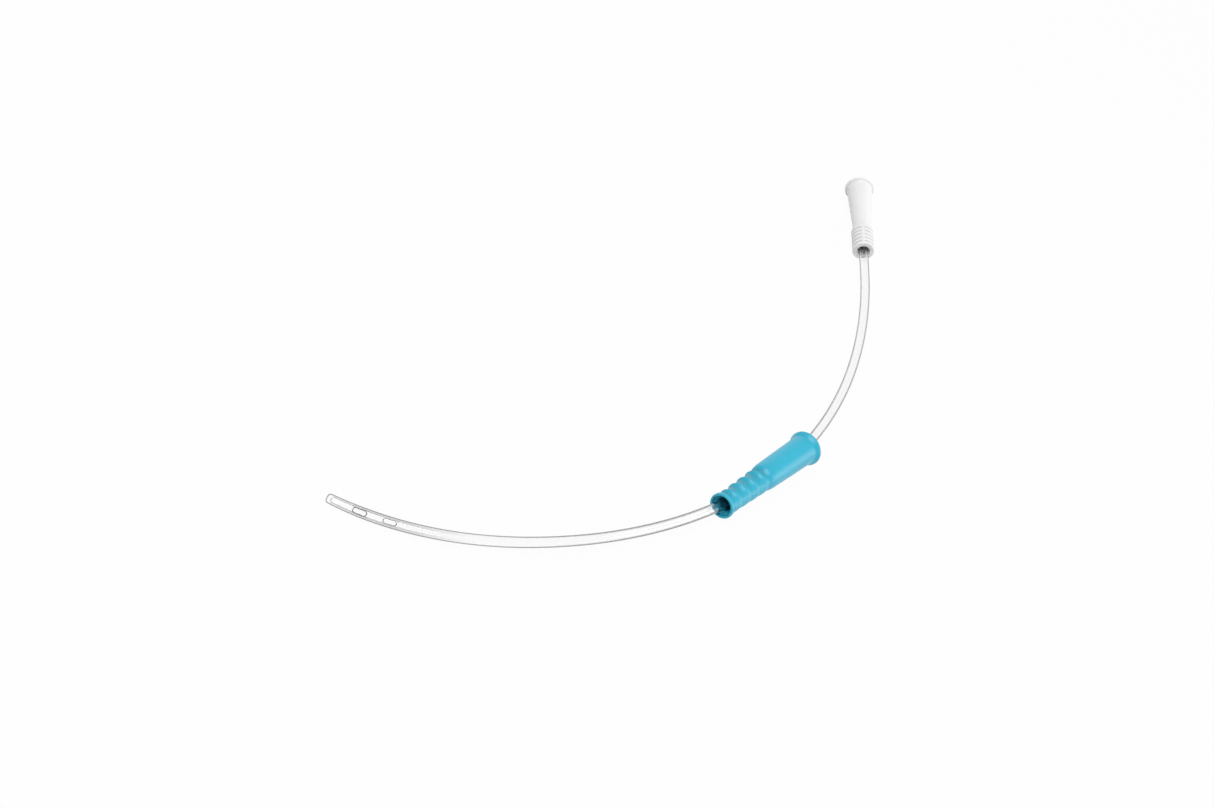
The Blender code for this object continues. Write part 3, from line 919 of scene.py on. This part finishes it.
class CATHETER_OT_tube(bpy.types.Operator):
    """Builds the clear tube with its closed tip and its two eyes"""
    bl_idname = "catheter.tube"
    bl_label = "Build Tube"

    def execute(self, context):
        settings = context.scene.catheter_tube
        route = current_route()
        curve = bpy.data.curves.new("route", "CURVE")
        curve.dimensions = "3D"
        spline = curve.splines.new("POLY")
        points = route.points(ROUTE_STEP)
        spline.points.add(len(points) - 1)
        for item, place in zip(spline.points, points):
            item.co = (*place, 1)
        guide = bpy.data.objects.new("route", curve)
        context.scene.collection.objects.link(guide)
        tube = TubeWall(settings).build()
        run_tree(tube, route_tree(), {
            "Route": guide, "Lead In": SOCKET_DEPTH, "Material": clear_plastic(settings.tint, settings.run)})
        bpy.data.objects.remove(guide)
        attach(tube, "catheter")
        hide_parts("catheter_tube")
        route.place(0)
        route.points(0.004)
        return {"FINISHED"}


# Grip sleeve

def ring_radius(station, pitch, rings):
    """Radius over the crests of the rings, which grow evenly from the first to the last."""
    last = RING_START + pitch * (rings - 1)
    return float(np.interp(station, (RING_START, last), (RING_FIRST_RADIUS, RING_LAST_RADIUS)))


def ring_profile(rise, depth_share):
    """Depth's share along one ring, from a valley over the crest to the next valley."""
    up = [(rise * share, depth_share(share)) for share in RING_CURVE_SHARES]
    down = [(1 - (1 - rise) * share, depth_share(share)) for share in reversed(RING_CURVE_SHARES)]
    return (*up, (rise, 0.0), *down)


def grip_outside(settings):
    """Outer line from the narrow mouth to the rim, over the crests of the rings."""
    line = rounded((EDGE_ROUND, GRIP_LIP_RADIUS - EDGE_ROUND), EDGE_ROUND, 180, 90, 7)
    line += straight(line[-1], (GRIP_LIP_LENGTH, GRIP_LIP_RADIUS), 4)
    first = RING_START - RING_RISE
    line += eased(line[-1], (first, ring_radius(first, settings.ring_pitch, settings.rings)), 16)
    last = first + settings.ring_pitch * settings.rings
    count = 30 * settings.rings
    for station in np.linspace(first, last, count + 1)[1:]:
        line.append((station, ring_radius(station, settings.ring_pitch, settings.rings)))
    line += eased(line[-1], (CONE_START, CONE_START_RADIUS), 24)
    bell = (settings.run - EDGE_ROUND - GRIP_BELL_LENGTH, CONE_END_RADIUS)
    line += straight(line[-1], bell, 20)
    line += eased(bell, (settings.run - EDGE_ROUND, GRIP_RIM_RADIUS), 16)
    line += rounded((settings.run - EDGE_ROUND, GRIP_RIM_RADIUS - EDGE_ROUND), EDGE_ROUND, 80, 0, 7)
    return line


def grip_inside(settings):
    """Bore's line from the rim back to the narrow mouth."""
    bell = (settings.run - EDGE_ROUND - GRIP_BELL_LENGTH, CONE_END_RADIUS - GRIP_WALL)
    first = RING_START - RING_RISE
    last = first + settings.ring_pitch * (settings.rings - 1)
    rim = GRIP_RIM_RADIUS - GRIP_RIM_WIDTH
    line = [(settings.run, rim + EDGE_ROUND / 2), (settings.run - EDGE_ROUND / 6, rim + EDGE_ROUND / 6)]
    line += eased((settings.run - EDGE_ROUND / 2, rim), bell, 14)
    follow(
        line,
        (straight, (CONE_START, CONE_START_RADIUS - GRIP_WALL), 16),
        (straight, (last + settings.ring_pitch, RING_END_BORE), 6),
        (straight, (last, RING_LAST_BORE), 6),
        (straight, (first, RING_FIRST_BORE), 12),
        (straight, (GRIP_MOUTH_DEPTH, GRIP_MOUTH_BORE), 6),
        (straight, (EDGE_ROUND / 2, GRIP_MOUTH_BORE), 4))
    line += [(EDGE_ROUND / 6, GRIP_MOUTH_BORE + EDGE_ROUND / 6), (0, GRIP_MOUTH_BORE + EDGE_ROUND / 2)]
    return line


def grip_placement(settings, route):
    tilt, height = rest_on((EDGE_ROUND, GRIP_LIP_RADIUS), (settings.run - EDGE_ROUND, GRIP_RIM_RADIUS))
    middle = route.place(GRIP_STATION)
    outward = Vector((middle.x - BEND_CENTRE.x, middle.y - BEND_CENTRE.y, 0)).normalized()
    half_chord = settings.run / 2
    bow = MIDDLE_BEND - math.sqrt(MIDDLE_BEND ** 2 - half_chord ** 2)
    level = Matrix.Rotation(GRIP_YAW, 3, "Z") @ UP.cross(outward)
    direction = level * math.cos(tilt) + UP * math.sin(tilt)
    across = MIDDLE_BEND - bow / 2 - GRIP_INWARD
    foot = Vector((BEND_CENTRE.x, BEND_CENTRE.y, 0)) + outward * across - level * half_chord * math.cos(tilt)
    return along_axis(direction, foot + UP * height)


class CATHETER_OT_grip(bpy.types.Operator):
    """Builds the grip sleeve with its finger rings"""
    bl_idname = "catheter.grip"
    bl_label = "Build Grip Sleeve"

    def execute(self, context):
        settings = context.scene.catheter_grip
        grip = turned_piece("grip_sleeve_rubber", grip_outside(settings), grip_inside(settings), GRIP_STEPS)
        rise = RING_RISE / settings.ring_pitch
        first = RING_START - RING_RISE
        common = {
            "First": first, "Pitch": settings.ring_pitch, "Count": settings.rings,
            "Lead In": first - GRIP_LIP_LENGTH, "Lead Out": RING_LEAD_OUT,
            "Deep Side": RING_DEEP_SIDE, "Side Sharpness": RING_SIDE_SHARPNESS,
            "Land Width": 0.0, "Land Turn": 0.0, "Material": elastomer(settings.tint)}
        bands = ring_profile(rise, lambda share: (1 - share) ** RING_BAND_POWER)
        crests = ring_profile(rise, lambda share: 1 - share ** RING_CREST_POWER)
        carvings = (
            ("Finger Rings", bands, 0.0, settings.ring_low_depth),
            ("Ring Crests", crests, settings.ring_depth, 0.0))
        for name, profile, deep, shallow in carvings:
            run_tree(grip, rib_tree(name, profile), {**common, "Deep": deep, "Shallow": shallow})
        grip.data.transform(grip_placement(settings, current_route()))
        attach(grip, "grip")
        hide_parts("grip_sleeve")
        return {"FINISHED"}


# Drainage funnel

def funnel_outside(settings):
    """Outer line from the face that the tube enters to the rim, without the grooves."""
    line = rounded((EDGE_ROUND, COLLAR_RADIUS - EDGE_ROUND), EDGE_ROUND, 180, 90, 7)
    line += straight(line[-1], (GROOVE_START, COLLAR_RADIUS), 5)
    grooved_end = GROOVE_START + settings.groove_pitch * settings.grooves
    line += straight(line[-1], (grooved_end, COLLAR_RADIUS), 44 * settings.grooves)
    line += straight(line[-1], (COLLAR_LENGTH, COLLAR_RADIUS), 2) if grooved_end < COLLAR_LENGTH else []
    waist = (COLLAR_LENGTH + SHOULDER_LENGTH, WAIST_RADIUS)
    flange = (settings.run - FLANGE_LENGTH, FUNNEL_RIM_RADIUS - FLANGE_ROUND)
    follow(
        line,
        (eased, waist, 16),
        (straight, (flange[0] - FLANGE_ROUND, FUNNEL_CONE_RADIUS), 24),
        (eased, flange, 8))
    line += rounded((flange[0] + FLANGE_ROUND, flange[1]), FLANGE_ROUND, 160, 90, 5)
    line += straight(line[-1], (settings.run - EDGE_ROUND, FUNNEL_RIM_RADIUS), 3)
    line += rounded((settings.run - EDGE_ROUND, FUNNEL_RIM_RADIUS - EDGE_ROUND), EDGE_ROUND, 80, 0, 7)
    return line


def funnel_inside(settings, tube_radius):
    """Line of the outlet, the channel and the tube's socket, from the rim back to the face."""
    bell = (settings.run - EDGE_ROUND - FUNNEL_BELL_LENGTH, FUNNEL_CONE_RADIUS - FUNNEL_WALL)
    rim = FUNNEL_RIM_RADIUS - FUNNEL_RIM_WIDTH
    waist = COLLAR_LENGTH + SHOULDER_LENGTH
    stop = SOCKET_DEPTH + FIT_GAP
    line = [(settings.run, rim + EDGE_ROUND / 2), (settings.run - EDGE_ROUND / 6, rim + EDGE_ROUND / 6)]
    line += eased((settings.run - EDGE_ROUND / 2, rim), bell, 14)
    follow(
        line,
        (straight, (waist + CHANNEL_STEP, WAIST_RADIUS - FUNNEL_WALL), 20),
        (eased, (waist, CHANNEL_RADIUS), 6),
        (straight, (stop, CHANNEL_RADIUS), 3),
        (straight, (stop, tube_radius + FIT_GAP), 2),
        (straight, (SOCKET_MOUTH_DEPTH + FIT_GAP, tube_radius + FIT_GAP), 8),
        (eased, (SOCKET_MOUTH_DEPTH - FIT_GAP, SOCKET_MOUTH_RADIUS - FIT_GAP), 5),
        (straight, (EDGE_ROUND / 2, SOCKET_MOUTH_RADIUS), 4))
    line += [
        (EDGE_ROUND / 6, SOCKET_MOUTH_RADIUS + EDGE_ROUND / 6), (0, SOCKET_MOUTH_RADIUS + EDGE_ROUND / 2)]
    return line


class CATHETER_OT_funnel(bpy.types.Operator):
    """Builds the drainage funnel with its grooved collar"""
    bl_idname = "catheter.funnel"
    bl_label = "Build Drainage Funnel"

    def execute(self, context):
        settings = context.scene.catheter_funnel
        tube = context.scene.catheter_tube
        route = current_route()
        funnel = turned_piece(
            "drainage_funnel_plastic", funnel_outside(settings), funnel_inside(settings, tube.diameter / 2),
            FUNNEL_STEPS)
        wide = GROOVE_WIDTH / settings.groove_pitch
        slope = GROOVE_SLOPE / settings.groove_pitch
        profile = (
            (0.0, 0.0), (slope * 0.5, 0.5), (slope, 1.0), (wide - slope, 1.0), (wide - slope * 0.5, 0.5),
            (wide, 0.0), (1.0, 0.0))
        run_tree(funnel, rib_tree("Collar Grooves", profile), {
            "First": GROOVE_START, "Pitch": settings.groove_pitch, "Count": settings.grooves,
            "Lead In": 0.0, "Lead Out": 0.0, "Deep": settings.groove_depth, "Shallow": settings.groove_depth,
            "Deep Side": 0.0, "Side Sharpness": 1.0, "Land Width": LAND_WIDTH, "Land Turn": LAND_TURN,
            "Material": moulded_plastic(settings.tint)})
        foot = route.place(0)
        funnel.data.transform(along_axis(route.funnel_axis(), Vector((foot.x, foot.y, route.funnel_height))))
        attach(funnel, "catheter")
        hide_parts("drainage_funnel")
        return {"FINISHED"}


# Stage

def add_lamp(name, place, size, watts):
    light = bpy.data.lights.new(name, "AREA")
    light.shape = "RECTANGLE"
    light.size, light.size_y = size
    light.energy = watts
    lamp = bpy.data.objects.new(name, light)
    lamp.location = place
    lamp.rotation_euler = (Vector(LAMP_TARGET) - Vector(place)).to_track_quat("-Z", "Y").to_euler()
    bpy.context.scene.collection.objects.link(lamp)


def add_camera():
    data = bpy.data.cameras.new("camera")
    data.sensor_width = SENSOR_WIDTH
    data.lens = SENSOR_WIDTH * FOCAL_PIXELS / PHOTO_SIZE[0]
    data.clip_start = 0.01
    camera = bpy.data.objects.new("camera", data)
    camera.location = CAMERA_PLACE
    camera.rotation_mode = "QUATERNION"
    camera.rotation_quaternion = CAMERA_TURN
    bpy.context.scene.collection.objects.link(camera)
    bpy.context.scene.camera = camera


def add_surroundings(brightness):
    """Room that is white low down, darker above and on the left, and paler through the clear tube."""
    world = bpy.data.worlds.new("room")
    world.use_nodes = True
    tree = world.node_tree
    own = parts(tree, tree.nodes.new("ShaderNodeTexCoord").outputs["Generated"])
    share = between(tree, own["Z"], *ROOM_RISE)
    left = between(tree, own["X"], *ROOM_LEFT)
    share = calculate(tree, "MAXIMUM", share, left)
    path = tree.nodes.new("ShaderNodeLightPath")
    through = calculate(tree, "MULTIPLY", path.outputs["Is Transmission Ray"], ROOM_THROUGH_TUBE)
    seen = calculate(tree, "MAXIMUM", path.outputs["Is Camera Ray"], through)
    share = calculate(tree, "MULTIPLY", share, calculate(tree, "SUBTRACT", 1.0, seen))
    tint = mix_colours(tree, share, (1.0, 1.0, 1.0), (brightness,) * 3)
    tree.links.new(tint, tree.nodes["Background"].inputs["Color"])
    bpy.context.scene.world = world


class CATHETER_OT_stage(bpy.types.Operator):
    """Builds the floor, the lamps, the surroundings and the camera"""
    bl_idname = "catheter.stage"
    bl_label = "Build Stage"

    def execute(self, context):
        settings = context.scene.catheter_stage
        angles = np.arange(FLOOR_SIDES) / FLOOR_SIDES * math.tau
        points = [(0, 0, 0)]
        points += [(FLOOR_REACH * math.cos(a), FLOOR_REACH * math.sin(a), 0) for a in angles]
        faces = [(0, side + 1, (side + 1) % FLOOR_SIDES + 1) for side in range(FLOOR_SIDES)]
        floor = add_piece("floor", points, faces)
        floor.data.materials.append(floor_finish(settings.floor_tint))
        add_lamp("key", KEY_PLACE, KEY_SIZE, settings.key_power)
        add_lamp("fill", FILL_PLACE, FILL_SIZE, settings.fill_power)
        add_surroundings(settings.sky)
        add_camera()
        context.scene.view_settings.view_transform = "Standard"
        return {"FINISHED"}


class CATHETER_PT_panel(bpy.types.Panel):
    """Lists the builders of the catheter and their settings"""
    bl_idname = "CATHETER_PT_panel"
    bl_label = "Intermittent Catheter"
    bl_space_type = "VIEW_3D"
    bl_region_type = "UI"
    bl_category = "Catheter"

    def draw(self, context):
        scene = context.scene
        groups = (
            (CATHETER_OT_stage, scene.catheter_stage), (CATHETER_OT_tube, scene.catheter_tube),
            (CATHETER_OT_grip, scene.catheter_grip), (CATHETER_OT_funnel, scene.catheter_funnel))
        for operator, settings in groups:
            box = self.layout.box()
            for name in settings.__annotations__:
                box.prop(settings, name)
            box.operator(operator.bl_idname)


SETTINGS = {
    "catheter_tube": CatheterTubeSettings,
    "catheter_grip": CatheterGripSettings,
    "catheter_funnel": CatheterFunnelSettings,
    "catheter_stage": CatheterStageSettings,
}
OPERATORS = (CATHETER_OT_stage, CATHETER_OT_tube, CATHETER_OT_grip, CATHETER_OT_funnel)
CLASSES = (*SETTINGS.values(), *OPERATORS, CATHETER_PT_panel)


def register():
    for item in CLASSES:
        bpy.utils.register_class(item)
    for name, settings in SETTINGS.items():
        setattr(bpy.types.Scene, name, PointerProperty(type=settings))


def unregister():
    for name in SETTINGS:
        delattr(bpy.types.Scene, name)
    for item in reversed(CLASSES):
        bpy.utils.unregister_class(item)


def main():
    register()
    bpy.ops.catheter.stage()
    bpy.ops.catheter.tube()
    bpy.ops.catheter.grip()
    bpy.ops.catheter.funnel()


if __name__ == "__main__":
    main()
